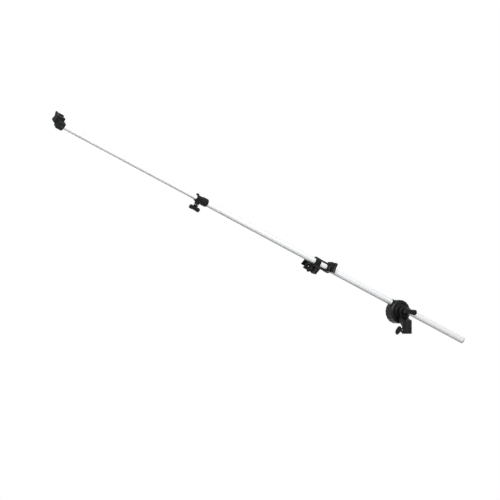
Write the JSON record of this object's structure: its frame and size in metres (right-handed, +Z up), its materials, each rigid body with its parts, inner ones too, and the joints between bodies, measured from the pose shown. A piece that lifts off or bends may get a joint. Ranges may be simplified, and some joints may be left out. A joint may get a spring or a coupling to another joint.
{
  "type": "reflector holder arm",
  "caption": "Telescopic reflector holder arm with rim clips at its end and on a slider, and a swivel friction head with a socket for a light stand stud.",
  "frame": {"origin": "centre of the blind end of the stand socket, which rests on top of the stand's stud", "axes": "+Z up along the stand's stud, +X the level direction of the arm's tail, -Y the side of the head's T-knob"},
  "size_m": [1.5463, 0.1217, 0.7197],
  "materials": {
    "painted_casting": "black satin paint on cast alloy",
    "satin_aluminium": "satin anodised",
    "black_plastic": "moulded, fine texture",
    "grey_plastic": "moulded glass-filled nylon, matte",
    "rubber": "matte",
    "zinc_steel": "bright zinc plated",
    "blackened_steel": "chemically blackened",
    "brass": "turned",
    "nylon": "black nylon, moulded",
    "fibre": "dark pressed fibre"
  },
  "bodies": {
    "head_base": {"head_base": "painted_casting", "socket_screw_insert": "blackened_steel", "friction_washer": "fibre"},
    "socket_screw_shoe": {"socket_screw_shoe": "nylon"},
    "socket_screw": {"socket_screw_stud": "zinc_steel", "socket_screw_paddle": "black_plastic"},
    "head_knob_washer": {"head_knob_washer": "zinc_steel"},
    "head_knob": {"head_t_knob": "black_plastic", "head_knob_insert": "brass"},
    "drum": {"drum_inner_half": "painted_casting", "drum_outer_half": "painted_casting", "pivot_bolt": "zinc_steel", "drum_cap": "black_plastic"},
    "boom_sleeve": {"drum_liner": "nylon"},
    "outer_boom": {"outer_tube": "satin_aluminium", "tail_plug": "grey_plastic", "lock_collar": "black_plastic", "lock_insert": "blackened_steel"},
    "lock_shoe": {"lock_shoe": "nylon"},
    "lock_screw": {"lock_stud": "zinc_steel", "lock_t_knob": "black_plastic"},
    "guide_bush": {"inner_guide_bush": "nylon"},
    "inner_boom": {"inner_tube": "satin_aluminium", "end_clip_bracket": "grey_plastic", "end_clip_rivet": "blackened_steel", "end_clip_pad": "rubber", "end_clip_insert": "blackened_steel"},
    "end_clip_shoe": {"end_clip_shoe": "nylon"},
    "end_clip_screw": {"end_clip_stud": "zinc_steel", "end_clip_paddle": "black_plastic"},
    "slider_bushes": {"slider_rear_bush": "nylon", "slider_front_bush": "nylon"},
    "slider": {"slider_body": "black_plastic", "slider_insert": "blackened_steel", "slider_clip_bracket": "grey_plastic", "slider_clip_pad": "rubber", "slider_clip_screw_1": "blackened_steel", "slider_clip_screw_2": "blackened_steel", "slider_clip_insert": "blackened_steel"},
    "slider_shoe": {"slider_shoe": "nylon"},
    "slider_screw": {"slider_stud": "zinc_steel", "slider_t_knob": "black_plastic"},
    "slider_clip_shoe": {"slider_clip_shoe": "nylon"},
    "slider_clip_screw": {"slider_clip_stud": "zinc_steel", "slider_clip_paddle": "black_plastic"}
  },
  "joints": [
    {"name": "socket_screw_travel", "type": "slide", "parent": "head_base", "child": "socket_screw_shoe", "axis": [-1, 0, 0], "range_m": [-0.00155, 0.00155]},
    {"name": "socket_screw_spin", "type": "hinge", "parent": "socket_screw_shoe", "child": "socket_screw", "pos_m": [-0.02, 0, -0.024], "axis": [-1, 0, 0], "range_deg": [-540, 540]},
    {"name": "head_knob_travel", "type": "slide", "parent": "head_base", "child": "head_knob_washer", "axis": [0, -1, 0], "range_m": [0, 0.0038]},
    {"name": "head_knob_spin", "type": "hinge", "parent": "head_knob_washer", "child": "head_knob", "pos_m": [0, 0, 0.034], "axis": [0, -1, 0], "range_deg": [0, 1080]},
    {"name": "drum_pivot", "type": "hinge", "parent": "head_base", "child": "drum", "pos_m": [0, 0, 0.034], "axis": [0, 1, 0], "continuous": true},
    {"name": "boom_roll", "type": "hinge", "parent": "drum", "child": "boom_sleeve", "pos_m": [0.00683, 0.049, 0.04957], "axis": [0.9157, 0, -0.4019], "continuous": true},
    {"name": "boom_slide", "type": "slide", "parent": "boom_sleeve", "child": "outer_boom", "axis": [0.9157, 0, -0.4019], "range_m": [-0.22, 0.16]},
    {"name": "lock_travel", "type": "slide", "parent": "outer_boom", "child": "lock_shoe", "axis": [-0.3916, 0.225, -0.8922], "range_m": [0, 0.00105]},
    {"name": "lock_spin", "type": "hinge", "parent": "lock_shoe", "child": "lock_screw", "pos_m": [-0.75408, 0.049, 0.38359], "axis": [-0.3916, 0.225, -0.8922], "range_deg": [0, 360]},
    {"name": "telescope", "type": "slide", "parent": "outer_boom", "child": "guide_bush", "axis": [0.9157, 0, -0.4019], "range_m": [-0.035, 0.53]},
    {"name": "inner_roll", "type": "hinge", "parent": "guide_bush", "child": "inner_boom", "pos_m": [-1.27601, 0.049, 0.61269], "axis": [0.9157, 0, -0.4019], "continuous": true},
    {"name": "end_clip_travel", "type": "slide", "parent": "inner_boom", "child": "end_clip_shoe", "axis": [0.2363, 0.809, 0.5382], "range_m": [-0.00305, 0.00255]},
    {"name": "end_clip_spin", "type": "hinge", "parent": "end_clip_shoe", "child": "end_clip_screw", "pos_m": [-1.27181, 0.06857, 0.63718], "axis": [0.2363, 0.809, 0.5382], "range_deg": [-1080, 900]},
    {"name": "slider_slide", "type": "slide", "parent": "outer_boom", "child": "slider_bushes", "axis": [0.9157, 0, -0.4019], "range_m": [-0.41, 0.065]},
    {"name": "slider_roll", "type": "hinge", "parent": "slider_bushes", "child": "slider", "pos_m": [-0.26787, 0.049, 0.17015], "axis": [0.9157, 0, -0.4019], "continuous": true},
    {"name": "slider_lock_travel", "type": "slide", "parent": "slider", "child": "slider_shoe", "axis": [0, -1, 0], "range_m": [0, 0.00105]},
    {"name": "slider_lock_spin", "type": "hinge", "parent": "slider_shoe", "child": "slider_screw", "pos_m": [-0.26787, 0.049, 0.17015], "axis": [0, -1, 0], "range_deg": [0, 360]},
    {"name": "slider_clip_travel", "type": "slide", "parent": "slider", "child": "slider_clip_shoe", "axis": [-0.2363, -0.809, -0.5382], "range_m": [-0.00305, 0.00255]},
    {"name": "slider_clip_spin", "type": "hinge", "parent": "slider_clip_shoe", "child": "slider_clip_screw", "pos_m": [-0.32851, 0.06428, 0.1738], "axis": [-0.2363, -0.809, -0.5382], "range_deg": [-1080, 900]}
  ],
  "couplings": [
    {"joint": "socket_screw_travel", "follows": "socket_screw_spin", "m_per_rad": 0.00015915},
    {"joint": "head_knob_travel", "follows": "head_knob_spin", "m_per_rad": 0.00019894},
    {"joint": "lock_travel", "follows": "lock_spin", "m_per_rad": 0.00015915},
    {"joint": "end_clip_travel", "follows": "end_clip_spin", "m_per_rad": 0.00015915},
    {"joint": "slider_lock_travel", "follows": "slider_lock_spin", "m_per_rad": 0.00015915},
    {"joint": "slider_clip_travel", "follows": "slider_clip_spin", "m_per_rad": 0.00015915}
  ]
}
